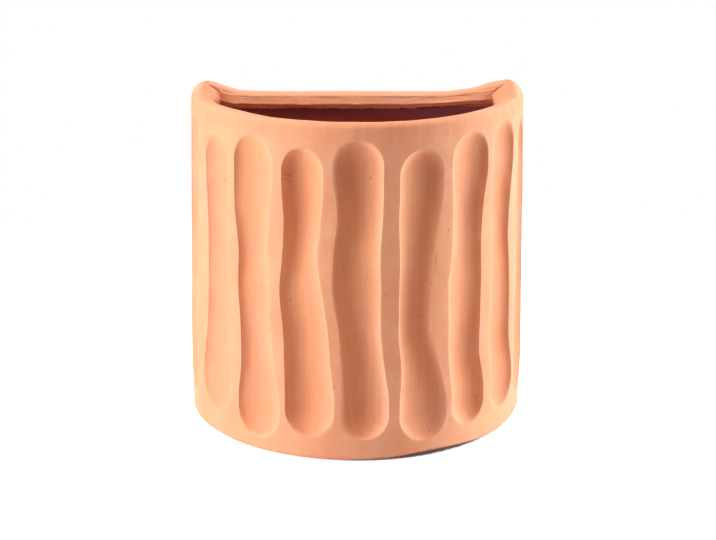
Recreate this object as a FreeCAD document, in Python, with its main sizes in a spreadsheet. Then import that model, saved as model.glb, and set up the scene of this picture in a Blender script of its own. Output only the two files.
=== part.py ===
import FreeCAD, Part
import math
import os

import Sketcher

os.makedirs("parts", exist_ok=True)
doc = FreeCAD.newDocument("wall_planter")

# The planter is modelled about the upright axis of its half round: the back plane is y = 0 and
# the front faces -y.  Every body is placed half the depth further back, which centres the
# footprint on the origin.

# ---------------------------------------------------------------------------------------------
# Driving dimensions, in millimetres and degrees
# ---------------------------------------------------------------------------------------------

SIZES = {
    # half-round wall
    "lip_radius": 110.0,          # outer radius just below the lip
    "foot_radius": 112.0,         # outer radius just above the foot's rounded edge
    "lip_height": 221.0,
    "wall_thick": 12.0,           # at the lip; the inside is straight, so the foot is thicker
    "lip_round": 5.0,             # outer rounding of the lip
    "foot_round": 4.0,
    # floor
    "floor_thick": 13.0,
    "drain_radius": 6.0,
    "drain_from_back": 48.0,
    # back panel
    "back_thick": 11.5,
    "back_dip": 0.5,              # the back's flat top lies this far below the lip
    "back_edge_round": 4.0,       # top edge at the wall side
    "back_inner_round": 1.5,      # top edge at the soil side
    "hang_radius": 4.0,
    "hang_spacing": 110.0,
    "hang_below_top": 35.0,
    # raised corners
    "horn_rise_left": 7.8,
    "horn_rise_right": 8.6,
    "horn_run_left": 36.0,        # length of the slope along the back's top
    "horn_run_right": 45.0,
    "horn_crest_left": 22.0,      # radius of the crest at the top of the slope
    "horn_crest_right": 25.0,
    "horn_round": 9.0,            # outer rounding of the corner
    "horn_reach": 20.0,           # angle round the rim over which the lip climbs to the horn
    # corner coils and rim strip
    "coil_leg": 7.0,
    "coil_hollow": 9.0,           # radius of the thumbed hollow of a coil
    "coil_below_lip": 5.0,
    "strip_thick": 3.0,
    "strip_tall": 7.0,
    "strip_round": 2.5,
    "strip_end_gap": 0.5,         # between the strip's end and the corner coil
    # flutes
    "flute_depth": 6.6,           # at the broad upper and lower ends
    "flute_neck_depth": 5.4,      # at the three stations in between
    "flute_shoulder": 21.0,       # broadest place, below the flute's upper end
    "flute_heel": 22.0,           # broadest place, above the flute's lower end
    "flute_overrun": 3.0,         # the gouge leaves the clay this far past each end
}

# One line per flute, from left to right.  Turn is the angle round the wall, crown the distance
# of the upper end below the lip, toe that of the lower end above the foot.  Then half width and
# sideways sway at five stations, from the top down.
FLUTE_COLUMNS = ("turn", "crown", "toe",
                 "shoulder_half", "shoulder_sway", "neck_half", "neck_sway",
                 "middle_half", "middle_sway", "knee_half", "knee_sway",
                 "heel_half", "heel_sway")
FLUTES = {
    "flute_1": (-77.5, 14.0, 20.0, 14.0, 2.0, 13.0, 2.0, 13.0, 0.5, 13.0, -1.5, 14.0, -2.0),
    "flute_2": (-54.5, 17.0, 18.0, 14.0, -1.5, 12.5, 0.5, 12.5, 1.0, 14.0, 1.0, 16.5, -1.5),
    "flute_3": (-36.0, 14.0, 10.0, 16.0, -2.0, 13.0, -2.0, 13.0, -1.0, 12.5, 1.0, 16.5, 2.5),
    "flute_4": (-17.5, 17.0, 16.0, 14.5, -1.5, 12.0, -2.5, 14.5, -2.5, 15.0, 1.5, 17.0, 3.5),
    "flute_5": (1.0, 10.5, 15.0, 16.0, -0.5, 14.5, -1.0, 15.5, -1.5, 13.0, 0.5, 16.0, 3.0),
    "flute_6": (21.5, 19.0, 11.5, 15.5, 1.0, 13.0, -0.5, 11.5, -3.0, 11.5, -2.0, 16.0, 3.0),
    "flute_7": (40.0, 14.0, 16.0, 15.5, 2.0, 12.0, -0.5, 14.0, -2.0, 13.0, -2.5, 14.5, 1.5),
    "flute_8": (58.5, 12.0, 17.0, 14.5, 1.5, 11.5, -1.5, 12.5, -1.0, 12.5, -1.5, 15.0, 2.0),
    "flute_9": (79.0, 15.0, 17.0, 13.5, 0.5, 13.5, -0.5, 12.5, 0.5, 15.0, -3.5, 15.5, -2.5),
}


def fill_sizes():
    sheet = doc.addObject("Spreadsheet::Sheet", "sizes")
    for row, (alias, value) in enumerate(SIZES.items(), start=1):
        sheet.set("A%d" % row, alias)
        sheet.set("B%d" % row, str(value))
        sheet.setAlias("B%d" % row, alias)
    return sheet


def fill_flutes():
    sheet = doc.addObject("Spreadsheet::Sheet", "flutes")
    for row, (flute, values) in enumerate(FLUTES.items(), start=1):
        sheet.set("A%d" % row, flute)
        for place, (column, value) in enumerate(zip(FLUTE_COLUMNS, values)):
            cell = "%s%d" % (chr(ord("B") + place), row)
            sheet.set(cell, str(value))
            sheet.setAlias(cell, "%s_%s" % (flute, column))
    return sheet


fill_sizes()
fill_flutes()
doc.recompute()

# Sizes that several pieces share, as expressions over the sheet
INNER_RADIUS = "(sizes.lip_radius - sizes.wall_thick)"
BACK_TOP = "(sizes.lip_height - sizes.back_dip)"
HALF_DEPTH = "sizes.foot_radius / 2"
CORNER_X = "sqrt(pow(%s; 2) - pow(sizes.back_thick; 2))" % INNER_RADIUS


def value(expression):
    """The number that an expression gives now."""
    answer = doc.getObject("sizes").evalExpression(expression)
    return float(getattr(answer, "Value", answer))


# ---------------------------------------------------------------------------------------------
# Sketch helpers
# ---------------------------------------------------------------------------------------------

def new_body(name):
    body = doc.addObject("PartDesign::Body", name)
    body.Label = name
    body.setExpression("Placement.Base.y", HALF_DEPTH)
    return body


def new_sketch(body, name, role):
    plane = [feature for feature in body.Origin.OriginFeatures if feature.Role == role][0]
    sketch = body.newObject("Sketcher::SketchObject", name)
    sketch.AttachmentSupport = [(plane, "")]
    sketch.MapMode = "FlatFace"
    return sketch


def bind(sketch, constraint, expression):
    index = sketch.addConstraint(constraint)
    sketch.setExpression("Constraints[%d]" % index, expression)


def pin(sketch, edge, end, x, y):
    """Hold one end of an edge at x, y from the sketch's origin."""
    bind(sketch, Sketcher.Constraint("DistanceX", -1, 1, edge, end, value(x)), x)
    bind(sketch, Sketcher.Constraint("DistanceY", -1, 1, edge, end, value(y)), y)


def draw_outline(sketch, corners, rounds):
    """A closed outline through corners, given as (x, y) expressions.

    rounds maps the number of an edge to (radius, centre x, centre y, counterclockwise);
    an edge without an entry is straight.  Every corner is pinned once.
    """
    count = len(corners)
    points = [FreeCAD.Vector(value(x), value(y), 0) for x, y in corners]
    ends = []
    for edge in range(count):
        start, finish = points[edge], points[(edge + 1) % count]
        if edge not in rounds:
            sketch.addGeometry(Part.LineSegment(start, finish), False)
            ends.append((1, 2))
            continue
        radius, centre_x, centre_y, counterclockwise = rounds[edge]
        centre = FreeCAD.Vector(value(centre_x), value(centre_y), 0)
        first, last = (start, finish) if counterclockwise else (finish, start)
        angles = [math.atan2(p.y - centre.y, p.x - centre.x) for p in (first, last)]
        circle = Part.Circle(centre, FreeCAD.Vector(0, 0, 1), value(radius))
        sketch.addGeometry(Part.ArcOfCircle(circle, angles[0], angles[1]), False)
        ends.append((1, 2) if counterclockwise else (2, 1))
    for edge in range(count):
        following = (edge + 1) % count
        sketch.addConstraint(Sketcher.Constraint("Coincident", edge, ends[edge][1],
                                                 following, ends[following][0]))
    for edge, (x, y) in enumerate(corners):
        pin(sketch, edge, ends[edge][0], x, y)
    for edge, (radius, _, _, _) in rounds.items():
        bind(sketch, Sketcher.Constraint("Radius", edge, value(radius)), radius)


# ---------------------------------------------------------------------------------------------
# Front wall: a revolved half round, a lofted climb to the horn at each end, nine flutes
# ---------------------------------------------------------------------------------------------

HORN_STEPS = (0.0, 0.25, 0.5, 0.75, 1.0)


def wall_section(body, name, plane_turn, climb, rise):
    """The wall's upright section on a plane through the axis.

    climb goes from 0, the plain lip, to 1, the full height of the horn.
    """
    sketch = new_sketch(body, name, "XZ_Plane")
    sketch.AttachmentOffset = FreeCAD.Placement(
        FreeCAD.Vector(0, 0, 0), FreeCAD.Rotation(FreeCAD.Vector(0, -1, 0), value(plane_turn)))
    sketch.setExpression("AttachmentOffset.Rotation.Angle", plane_turn)
    top = "(sizes.lip_height + %s * %.6f)" % (rise, climb)
    outer = ("min(sizes.lip_round + (sizes.horn_round - sizes.lip_round) * %.6f; "
             "sizes.wall_thick - 1.5)" % climb)
    inner = "(sizes.wall_thick - %s)" % outer
    crest_x = "(sizes.lip_radius - %s)" % outer
    foot_x = "(sizes.foot_radius - sizes.foot_round)"
    corners = [
        (INNER_RADIUS, "0"),
        (foot_x, "0"),
        ("sizes.foot_radius", "sizes.foot_round"),
        ("sizes.lip_radius", "%s - %s" % (top, outer)),
        (crest_x, top),
        (INNER_RADIUS, "%s - %s" % (top, inner)),
    ]
    rounds = {
        1: ("sizes.foot_round", foot_x, "sizes.foot_round", True),
        3: (outer, crest_x, "%s - %s" % (top, outer), True),
        4: (inner, crest_x, "%s - %s" % (top, inner), True),
    }
    draw_outline(sketch, corners, rounds)
    return sketch


def add_horn(body, side):
    """The last stretch of the wall, where the lip climbs smoothly to the raised corner."""
    sections = []
    for number, step in enumerate(HORN_STEPS):
        climb = step * step * (3.0 - 2.0 * step)
        left_over = "sizes.horn_reach * %.6f" % (1.0 - step)
        turn = left_over if side == "right" else "180 - " + left_over
        sections.append(wall_section(body, "horn_%s_%d" % (side, number), turn, climb,
                                     "sizes.horn_rise_" + side))
    horn = body.newObject("PartDesign::AdditiveLoft", "horn_" + side)
    horn.Profile = sections[0]
    horn.Sections = sections[1:]
    doc.recompute()


def flute_circle(body, name, height, radius, depth, turn):
    """One round section of a gouge stroke: it bites depth into the wall at this height."""
    wall_radius = ("(sizes.foot_radius - (sizes.foot_radius - sizes.lip_radius) * (%s) "
                   "/ sizes.lip_height)" % height)
    reach = "(%s + %s - (%s))" % (wall_radius, radius, depth)
    sketch = new_sketch(body, name, "XY_Plane")
    sketch.AttachmentOffset = FreeCAD.Placement(
        FreeCAD.Vector(0, 0, value(height)), FreeCAD.Rotation())
    sketch.setExpression("AttachmentOffset.Base.z", height)
    x = "%s * sin(%s)" % (reach, turn)
    y = "-%s * cos(%s)" % (reach, turn)
    centre = FreeCAD.Vector(value(x), value(y), 0)
    sketch.addGeometry(Part.Circle(centre, FreeCAD.Vector(0, 0, 1), value(radius)), False)
    pin(sketch, 0, 3, x, y)
    bind(sketch, Sketcher.Constraint("Radius", 0, value(radius)), radius)
    return sketch


def add_flute(body, flute):
    """One wavy flute, cut by a loft through round sections from its upper to its lower end."""
    own = "flutes.%s_" % flute
    upper_end = "(sizes.lip_height - %scrown)" % own
    lower_end = "(%stoe)" % own
    shoulder = "(%s - sizes.flute_shoulder)" % upper_end
    heel = "(%s + sizes.flute_heel)" % lower_end

    def turn(station):
        sway = "%s%s_sway / sizes.foot_radius * 180 / pi" % (own, station)
        return "((%sturn + %s) * 1 deg)" % (own, sway)

    def radius(station, depth):
        return "((pow(%s%s_half; 2) + pow(%s; 2)) / (2 * %s))" % (own, station, depth, depth)

    def end_depth(station, inset):
        """Depth of the rounded end of a flute, inset away from that end."""
        half_squared = "(2 * %s%s_half * (%s) - pow(%s; 2))" % (own, station, inset, inset)
        return "%s / (2 * %s)" % (half_squared, radius(station, "sizes.flute_depth"))

    circles = []

    def add(height, circle_radius, depth, circle_turn):
        name = "%s_%d" % (flute, len(circles))
        circles.append(flute_circle(body, name, height, circle_radius, depth, circle_turn))

    full_shoulder = radius("shoulder", "sizes.flute_depth")
    full_heel = radius("heel", "sizes.flute_depth")
    for inset in ("-sizes.flute_overrun", "sizes.flute_shoulder / 7",
                  "sizes.flute_shoulder * 3 / 7"):
        add("%s - (%s)" % (upper_end, inset), full_shoulder, end_depth("shoulder", inset),
            turn("shoulder"))
    add(shoulder, full_shoulder, "sizes.flute_depth", turn("shoulder"))
    for place, station in enumerate(("neck", "middle", "knee"), start=1):
        height = "%s + (%s - %s) * %d / 4" % (shoulder, heel, shoulder, place)
        add(height, radius(station, "sizes.flute_neck_depth"), "sizes.flute_neck_depth",
            turn(station))
    add(heel, full_heel, "sizes.flute_depth", turn("heel"))
    for inset in ("sizes.flute_heel * 3 / 7", "sizes.flute_heel / 7", "-sizes.flute_overrun"):
        add("%s + (%s)" % (lower_end, inset), full_heel, end_depth("heel", inset), turn("heel"))

    cut = body.newObject("PartDesign::SubtractiveLoft", flute)
    cut.Profile = circles[0]
    cut.Sections = circles[1:]
    before = body.Shape.Volume
    doc.recompute()
    if not cut.Shape.Volume < before:
        raise RuntimeError(flute + " cut nothing")


def make_front_wall():
    body = new_body("front_wall")
    section = wall_section(body, "wall_section", "90", 0.0, "sizes.horn_rise_left")
    wall = body.newObject("PartDesign::Revolution", "half_round")
    wall.Profile = section
    wall.ReferenceAxis = (section, ["V_Axis"])
    wall.Midplane = True
    wall.setExpression("Angle", "180 - 2 * sizes.horn_reach")
    doc.recompute()
    add_horn(body, "left")
    add_horn(body, "right")
    for flute in FLUTES:
        add_flute(body, flute)
    return body


# ---------------------------------------------------------------------------------------------
# Back panel: a slab between the wall's ends, its top rising to the horns
# ---------------------------------------------------------------------------------------------

def horn_slope(side):
    """Points, and radii with centres, of the S-shaped slope along the back's top."""
    sign = -1 if side == "left" else 1
    rise = "sizes.horn_rise_%s + sizes.back_dip" % side
    run = "sizes.horn_run_" + side
    crest = "sizes.horn_crest_" + side
    both = "((pow(%s; 2) + pow(%s; 2)) / (2 * (%s)))" % (run, rise, rise)
    lean = "asin(%s / %s)" % (run, both)
    tip_x = INNER_RADIUS
    flat = ("%d * (%s - %s)" % (sign, tip_x, run), BACK_TOP)
    bend = ("%d * (%s - %s * sin(%s))" % (sign, tip_x, crest, lean),
            "%s + %s - %s * (1 - cos(%s))" % (BACK_TOP, rise, crest, lean))
    tip = ("%d * %s" % (sign, tip_x), "%s + %s" % (BACK_TOP, rise))
    hollow = ("%s - %s" % (both, crest), flat[0], "%s + %s - %s" % (BACK_TOP, both, crest))
    brow = (crest, tip[0], "%s - %s" % (tip[1], crest))
    return flat, bend, tip, hollow, brow


def top_edges(shape, y, above):
    """Names of the edges that run along the top of the slab in the plane at y."""
    names = []
    for number, edge in enumerate(shape.Edges, start=1):
        box = edge.BoundBox
        in_plane = abs(box.YMin - y) < 0.01 and abs(box.YMax - y) < 0.01
        if in_plane and box.ZMin > above and box.XLength > 1.0:
            names.append("Edge%d" % number)
    return names


def round_top_edge(body, name, y, radius):
    base = body.Tip
    edges = top_edges(base.Shape, y, value(BACK_TOP) - 1.0)
    fillet = body.newObject("PartDesign::Fillet", name)
    fillet.Base = (base, edges)
    fillet.setExpression("Radius", radius)
    doc.recompute()


def make_back_panel():
    body = new_body("back_panel")
    outline = new_sketch(body, "back_outline", "XZ_Plane")
    flat_l, bend_l, tip_l, hollow_l, brow_l = horn_slope("left")
    flat_r, bend_r, tip_r, hollow_r, brow_r = horn_slope("right")
    rough_end = "(%s + sizes.wall_thick / 2)" % INNER_RADIUS
    corners = [("-" + rough_end, "0"), (rough_end, "0"),
               (rough_end, tip_r[1]), tip_r, bend_r, flat_r,
               flat_l, bend_l, tip_l, ("-" + rough_end, tip_l[1])]
    rounds = {3: brow_r + (True,), 4: hollow_r + (False,),
              6: hollow_l + (False,), 7: brow_l + (True,)}
    draw_outline(outline, corners, rounds)
    slab = body.newObject("PartDesign::Pad", "slab")
    slab.Profile = outline
    slab.setExpression("Length", "sizes.back_thick")
    doc.recompute()

    round_top_edge(body, "round_wall_side", 0.0, "sizes.back_edge_round")
    round_top_edge(body, "round_soil_side", -value("sizes.back_thick"),
                   "sizes.back_inner_round")

    ends = new_sketch(body, "back_ends", "XY_Plane")
    up = FreeCAD.Vector(0, 0, 1)
    for number, reach in enumerate((INNER_RADIUS, INNER_RADIUS + " + sizes.wall_thick")):
        ends.addGeometry(Part.Circle(FreeCAD.Vector(0, 0, 0), up, value(reach)), False)
        ends.addConstraint(Sketcher.Constraint("Coincident", number, 3, -1, 1))
        bind(ends, Sketcher.Constraint("Radius", number, value(reach)), reach)
    trim = body.newObject("PartDesign::Pocket", "trim_ends")
    trim.Profile = ends
    trim.Type = "ThroughAll"
    trim.Reversed = True
    doc.recompute()

    holes = new_sketch(body, "hanging_holes", "XZ_Plane")
    for number, sign in enumerate((-1, 1)):
        x = "%d * sizes.hang_spacing / 2" % sign
        z = "%s - sizes.hang_below_top" % BACK_TOP
        centre = FreeCAD.Vector(value(x), value(z), 0)
        holes.addGeometry(Part.Circle(centre, up, value("sizes.hang_radius")), False)
        pin(holes, number, 3, x, z)
        bind(holes, Sketcher.Constraint("Radius", number, value("sizes.hang_radius")),
             "sizes.hang_radius")
    drill = body.newObject("PartDesign::Pocket", "drill_hanging_holes")
    drill.Profile = holes
    drill.Type = "ThroughAll"
    drill.Reversed = True
    doc.recompute()
    return body


# ---------------------------------------------------------------------------------------------
# Floor, corner coils and rim strip
# ---------------------------------------------------------------------------------------------

def make_floor_slab():
    body = new_body("floor_slab")
    outline = new_sketch(body, "floor_outline", "XY_Plane")
    back = "-sizes.back_thick"
    corners = [(CORNER_X, back), ("-" + CORNER_X, back)]
    draw_outline(outline, corners, {1: (INNER_RADIUS, "0", "0", True)})
    slab = body.newObject("PartDesign::Pad", "floor")
    slab.Profile = outline
    slab.setExpression("Length", "sizes.floor_thick")
    doc.recompute()

    hole = new_sketch(body, "drain_hole", "XY_Plane")
    place = "-sizes.drain_from_back"
    hole.addGeometry(Part.Circle(FreeCAD.Vector(0, value(place), 0), FreeCAD.Vector(0, 0, 1),
                                 value("sizes.drain_radius")), False)
    pin(hole, 0, 3, "0", place)
    bind(hole, Sketcher.Constraint("Radius", 0, value("sizes.drain_radius")),
         "sizes.drain_radius")
    drain = body.newObject("PartDesign::Pocket", "drain")
    drain.Profile = hole
    drain.Type = "ThroughAll"
    drain.Reversed = True
    doc.recompute()
    return body


def make_corner_coil(side, sign):
    """A coil of clay thumbed into the corner where the wall's inside meets the back."""
    body = new_body("corner_coil_" + side)
    outline = new_sketch(body, "coil_%s_outline" % side, "XY_Plane")
    outline.setExpression("AttachmentOffset.Base.z", "sizes.floor_thick")
    reach = "(sizes.back_thick + sizes.coil_leg)"
    on_back = ("%d * (%s - sizes.coil_leg)" % (sign, CORNER_X), "-sizes.back_thick")
    in_corner = ("%d * %s" % (sign, CORNER_X), "-sizes.back_thick")
    on_wall = ("%d * sqrt(pow(%s; 2) - pow(%s; 2))" % (sign, INNER_RADIUS, reach),
               "-" + reach)
    span = ("(pow(%s - %s; 2) + pow(%s - %s; 2))"
            % (on_wall[0], on_back[0], on_wall[1], on_back[1]))
    sag = "sqrt(pow(sizes.coil_hollow; 2) / %s - 0.25)" % span
    hollow_x = ("(%s + %s) / 2 + %d * (%s - %s) * %s"
                % (on_back[0], on_wall[0], sign, on_wall[1], on_back[1], sag))
    hollow_y = ("(%s + %s) / 2 - %d * (%s - %s) * %s"
                % (on_back[1], on_wall[1], sign, on_wall[0], on_back[0], sag))
    turn_left = sign < 0
    corners = [on_back, in_corner, on_wall]
    rounds = {1: (INNER_RADIUS, "0", "0", turn_left),
              2: ("sizes.coil_hollow", hollow_x, hollow_y, not turn_left)}
    draw_outline(outline, corners, rounds)
    coil = body.newObject("PartDesign::Pad", "coil_" + side)
    coil.Profile = outline
    coil.setExpression("Length", "sizes.lip_height - sizes.coil_below_lip - sizes.floor_thick")
    doc.recompute()
    return body


def make_back_rim_strip():
    """A flat strip of clay along the inner top edge of the back, its top edge rounded."""
    body = new_body("back_rim_strip")
    section = new_sketch(body, "strip_section", "YZ_Plane")
    back = "-sizes.back_thick"
    front = "-(sizes.back_thick + sizes.strip_thick)"
    top = "(%s - sizes.back_inner_round)" % BACK_TOP
    rounding = "min(sizes.strip_round; sizes.strip_thick - 0.4)"
    corners = [
        (back, "%s - sizes.strip_tall" % top),
        (back, top),
        ("%s + %s" % (front, rounding), top),
        (front, "%s - %s" % (top, rounding)),
        (front, "%s - sizes.strip_tall" % top),
    ]
    rounds = {2: (rounding, "%s + %s" % (front, rounding), "%s - %s" % (top, rounding), True)}
    draw_outline(section, corners, rounds)
    strip = body.newObject("PartDesign::Pad", "strip")
    strip.Profile = section
    strip.Midplane = True
    strip.setExpression("Length",
                        "2 * (%s - sizes.coil_leg - sizes.strip_end_gap)" % CORNER_X)
    doc.recompute()
    return body


pieces = [
    make_front_wall(),
    make_back_panel(),
    make_floor_slab(),
    make_corner_coil("left", -1),
    make_corner_coil("right", 1),
    make_back_rim_strip(),
]
doc.recompute()

for item in doc.Objects:
    for word in ("Invalid", "Error"):
        if word in item.State:
            raise RuntimeError("%s is %s" % (item.Name, word))
for piece in pieces:
    if piece.Shape.isNull() or not piece.Shape.isValid() or len(piece.Shape.Solids) != 1:
        raise RuntimeError(piece.Label + " has no valid solid")
    piece.Shape.exportStep("parts/%s.step" % piece.Label)
    box = piece.Shape.BoundBox
    print("%-18s volume %9.0f  x %7.2f %7.2f  y %7.2f %7.2f  z %7.2f %7.2f"
          % (piece.Label, piece.Shape.Volume, box.XMin, box.XMax, box.YMin, box.YMax,
             box.ZMin, box.ZMax))
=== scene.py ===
import math

import bpy
import numpy as np
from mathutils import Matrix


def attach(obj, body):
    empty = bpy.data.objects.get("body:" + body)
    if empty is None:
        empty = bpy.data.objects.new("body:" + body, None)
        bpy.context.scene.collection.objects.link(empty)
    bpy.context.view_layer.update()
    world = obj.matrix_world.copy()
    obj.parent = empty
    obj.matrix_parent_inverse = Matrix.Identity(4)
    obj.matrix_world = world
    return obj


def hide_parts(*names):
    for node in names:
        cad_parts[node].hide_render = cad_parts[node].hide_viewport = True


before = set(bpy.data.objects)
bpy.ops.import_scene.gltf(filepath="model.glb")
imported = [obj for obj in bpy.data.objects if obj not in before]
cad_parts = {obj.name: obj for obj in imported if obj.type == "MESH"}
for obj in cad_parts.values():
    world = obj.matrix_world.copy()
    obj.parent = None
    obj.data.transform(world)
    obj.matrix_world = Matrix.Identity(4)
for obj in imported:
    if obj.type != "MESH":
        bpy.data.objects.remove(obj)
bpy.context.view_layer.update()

# Shapes are made in millimetres about the upright axis of the half round: the back plane is
# y = 0, the front faces -y and the foot stands on z = 0.  build() moves them to the shared frame.
# Angles round the wall are degrees from the front, negative at the left.  Where the rim's
# corners have two values or two lists, they are for the left and the right.

MM = 0.001
HALF_DEPTH = 56.0             # from the back plane to the shared frame's origin
LEAN = 0.9                    # the foot stands this far left of the rim

LIP_RADIUS = 110.0
FOOT_RADIUS = 112.6
LIP_HEIGHT = 222.0
WALL_THICK = 12.0
INNER_RADIUS = LIP_RADIUS - WALL_THICK
OUTER_FACE = 99.0             # the wall's points beyond this radius are on its outer face
FOOT_ROUND = 4.0
FLOOR_THICK = 13.0
DRAIN_RADIUS = 6.0
DRAIN_FROM_BACK = 48.0
BACK_THICK = 11.5
BACK_BITE = 0.3               # the back reaches this far into the wall's ends
HANG_RADIUS = 4.0
HANG_SPACING = 110.0
HANG_HEIGHT = 185.5
COIL_LEG = 7.0
COIL_TOP = 216.5
STRIP_REACH = 90.5            # from the middle to the strip's ends

# The rim, and the raised corners it climbs to
RIM_START = 6.0               # the upright rows of the wall end this far below the lip
RIM_WIDE, RIM_TALL = 3.2, 3.4  # the rim's outer rounding
RIM_DROP = 7.0                # height of the rim's inner side
HORN_RISE = (6.2, 7.0)        # height of the corners above the lip
HORN_REACH = 20.0             # degrees of the rim over which it climbs to the corner
HORN_WIDE = (8.8, 9.8)        # how much wider and taller the outer rounding grows there
HORN_TALL = (9.6, 10.6)
HORN_DROP = 1.0               # how much taller the inner side grows there
HORN_BLUFF = (0.9, 1.2)       # and how much fuller than round
# Clay smeared inwards at the rim's ends: degrees round the wall and how far it reaches
SMEAR = (
    ((68.0, 0.0), (72.0, 0.4), (75.0, 1.6), (78.0, 5.0), (80.5, 7.3), (82.6, 7.2)),
    ((60.0, 0.0), (66.0, 0.8), (72.0, 4.0), (78.0, 6.8), (82.6, 8.2)),
)
SMEAR_AWAY = (2.0, 1.6)       # degrees by which its tip keeps clear of the corner
END_ROUND = 2.5               # rounding where the wall's ends meet the back plane
TOP_ROUND = 9.0               # rounding of the raised corners towards the back plane
BACK_EDGE = 4.2               # the same rounding on the back's level top edge
SEAM = 83.26                  # degrees at which the wall's inside passes the back's front face
NOSE = 82.65                  # last column of the clay smeared into the corner

BACK_TOP = 219.6
# The back's top edge: distance from the middle and height above its level part
BACK_RISE = (
    ((64.0, 0.0), (72.0, 0.3), (78.0, 1.0), (83.0, 2.5), (88.0, 4.8), (92.0, 6.8), (98.0, 8.6)),
    ((52.0, 0.0), (60.0, 0.3), (68.0, 1.2), (76.0, 2.4), (82.0, 4.2), (87.0, 6.4), (92.0, 8.0),
     (98.0, 9.4)),
)
# How far the foot is drawn in round the wall, in degrees and millimetres, up to FOOT_TUCK_TALL
FOOT_TUCK = ((-90.0, 1.0), (-78.0, 1.6), (-58.0, 2.2), (-38.0, 0.8), (-15.0, -0.4), (15.0, -0.4),
             (38.0, 0.8), (58.0, 2.8), (78.0, 2.4), (90.0, 1.4))
FOOT_TUCK_TALL = 38.0
# The painted shadow line under the foot's rounding: degrees and its height
FOOT_SHADOW_LINE = ((-14.0, -0.6), (0.0, 1.1), (12.0, 2.3), (22.0, 4.0), (38.0, 3.6), (50.0, 1.9),
              (65.0, 1.1), (82.0, -0.6))
# How dark the painted shadow line under the foot is
FOOT_SHADOW_DARK = 0.95
SHADED = 0.34                 # how dark the inside's painted shade is, beside the painted shade stripe below the strip
LIP_BAND = 206.0              # from this height up the lip band gets painted shade, more towards the corners, and a little chalk

# Flutes from left to right: turn round the wall in degrees, crown (upper end below the lip) and
# toe (lower end above the foot) in millimetres, share of the depths below, then half width and
# sideways sway at seven even steps from the heel, the broadest place near the foot, up to the
# shoulder near the lip.
FLUTES = (
    (-77.5, 15.0, 20.0, 0.9, (14.0, -2.0), (13.5, -2.0), (13.0, -1.0), (13.0, 0.5), (13.0, 1.5),
     (13.0, 2.0), (14.0, 2.0)),
    (-54.5, 20.0, 18.0, 0.9, (17.0, -2.0), (15.0, 0.0), (13.0, 1.5), (12.5, 1.0), (12.0, 1.0),
     (12.5, 0.0), (13.5, -1.5)),
    (-36.0, 14.7, 10.0, 1.05, (16.5, 2.5), (13.5, 2.0), (12.0, 0.0), (13.0, -1.0), (12.0, -1.5),
     (14.5, -2.5), (15.5, -2.0)),
    (-17.5, 18.9, 16.0, 1.2, (16.5, 3.5), (15.5, 2.0), (15.0, 0.5), (14.5, -2.5), (12.0, -3.0),
     (12.5, -1.5), (14.0, -1.5)),
    (1.0, 13.4, 15.0, 1.1, (15.5, 3.5), (14.0, 2.0), (13.5, 0.0), (15.5, -2.0), (15.0, -2.0),
     (14.5, 0.0), (16.0, -1.0)),
    (21.5, 20.0, 11.5, 0.85, (16.5, 3.0), (13.5, 1.0), (11.0, -3.5), (11.0, -3.5), (12.0, -2.0),
     (14.0, -0.5), (15.0, 1.0)),
    (40.0, 13.9, 16.0, 1.0, (14.0, 1.5), (13.0, -2.0), (13.5, -2.0), (14.0, -2.0), (12.5, -1.0),
     (13.0, 0.5), (15.5, 2.5)),
    (58.5, 12.6, 17.0, 1.0, (15.0, 2.0), (13.0, -2.0), (13.0, -1.5), (12.5, -1.5), (11.5, -2.5),
     (12.5, -1.0), (14.5, 1.5)),
    (79.0, 16.0, 17.0, 0.9, (16.0, -2.5), (15.5, -4.5), (14.0, -3.0), (12.0, 0.0), (13.0, -0.5),
     (13.5, -0.5), (13.5, 0.5)),
)
FLUTE_DEPTHS = (7.4, 7.0, 6.5, 6.3, 6.5, 7.0, 7.4)      # at the same seven steps
FLUTE_SHOULDER = 21.0         # from a flute's upper end down to its shoulder
FLUTE_HEEL = 22.0             # from its lower end up to its heel
FLUTE_FULL = 0.78             # below 1, a gouge is fuller than round, with steeper sides
FLUTE_EDGE = 0.3              # softness of the edge where a gouge leaves the wall
EDGE_WORN = 0.9               # how far the wear along that edge reaches
TYPICAL_DEPTH = 6.6           # depth at which the clay is coloured fully as a flute's floor, with its full painted shade
# Marks where the tool skipped: by the flute's turn, lowest height, length and depth
CHATTER = {-54.5: (187.0, 14.0, 0.2), -17.5: (176.0, 20.0, 0.65), 40.0: (60.0, 16.0, 0.12)}
CHATTER_PLACE = 0.86          # share of the half width from the flute's middle to their middle

# Hand-made unevenness: height, wavelength and seed of gentle random fields
WALL_UNEVEN = ((0.28, 70.0, 11), (0.07, 17.0, 12))
BACK_UNEVEN = ((0.22, 60.0, 21), (0.06, 14.0, 22))
FLOOR_UNEVEN = ((0.35, 38.0, 31), (0.12, 11.0, 32))
STRIP_RAGGED = ((0.30, 9.0, 41), (0.22, 3.2, 42), (0.40, 30.0, 43))
STRIP_WAVE = ((0.18, 24.0, 44), (0.06, 6.0, 45))


# ---------------------------------------------------------------------------------------------
# Numbers and meshes
# ---------------------------------------------------------------------------------------------

def ease(t):
    """0 to 1 with flat ends."""
    t = np.clip(t, 0.0, 1.0)
    return t * t * (3.0 - 2.0 * t)


def through(x, places, values):
    """A smooth curve through values at rising places, level beyond the first and the last."""
    places = np.asarray(places, float)
    values = np.asarray(values, float)
    x = np.clip(np.asarray(x, float), places[0], places[-1])
    slopes = np.gradient(values, places)
    slopes[0] = slopes[-1] = 0.0
    k = np.clip(np.searchsorted(places, x, side="right") - 1, 0, len(places) - 2)
    step = places[k + 1] - places[k]
    t = (x - places[k]) / step
    return ((1 + 2 * t) * (1 - t) ** 2 * values[k] + t * (1 - t) ** 2 * step * slopes[k]
            + t * t * (3 - 2 * t) * values[k + 1] + t * t * (t - 1) * step * slopes[k + 1])


def side_of(across, pair):
    """The left or the right one of a pair, by the sign of an angle or of x."""
    return np.where(np.asarray(across) < 0, pair[0], pair[1])


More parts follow.
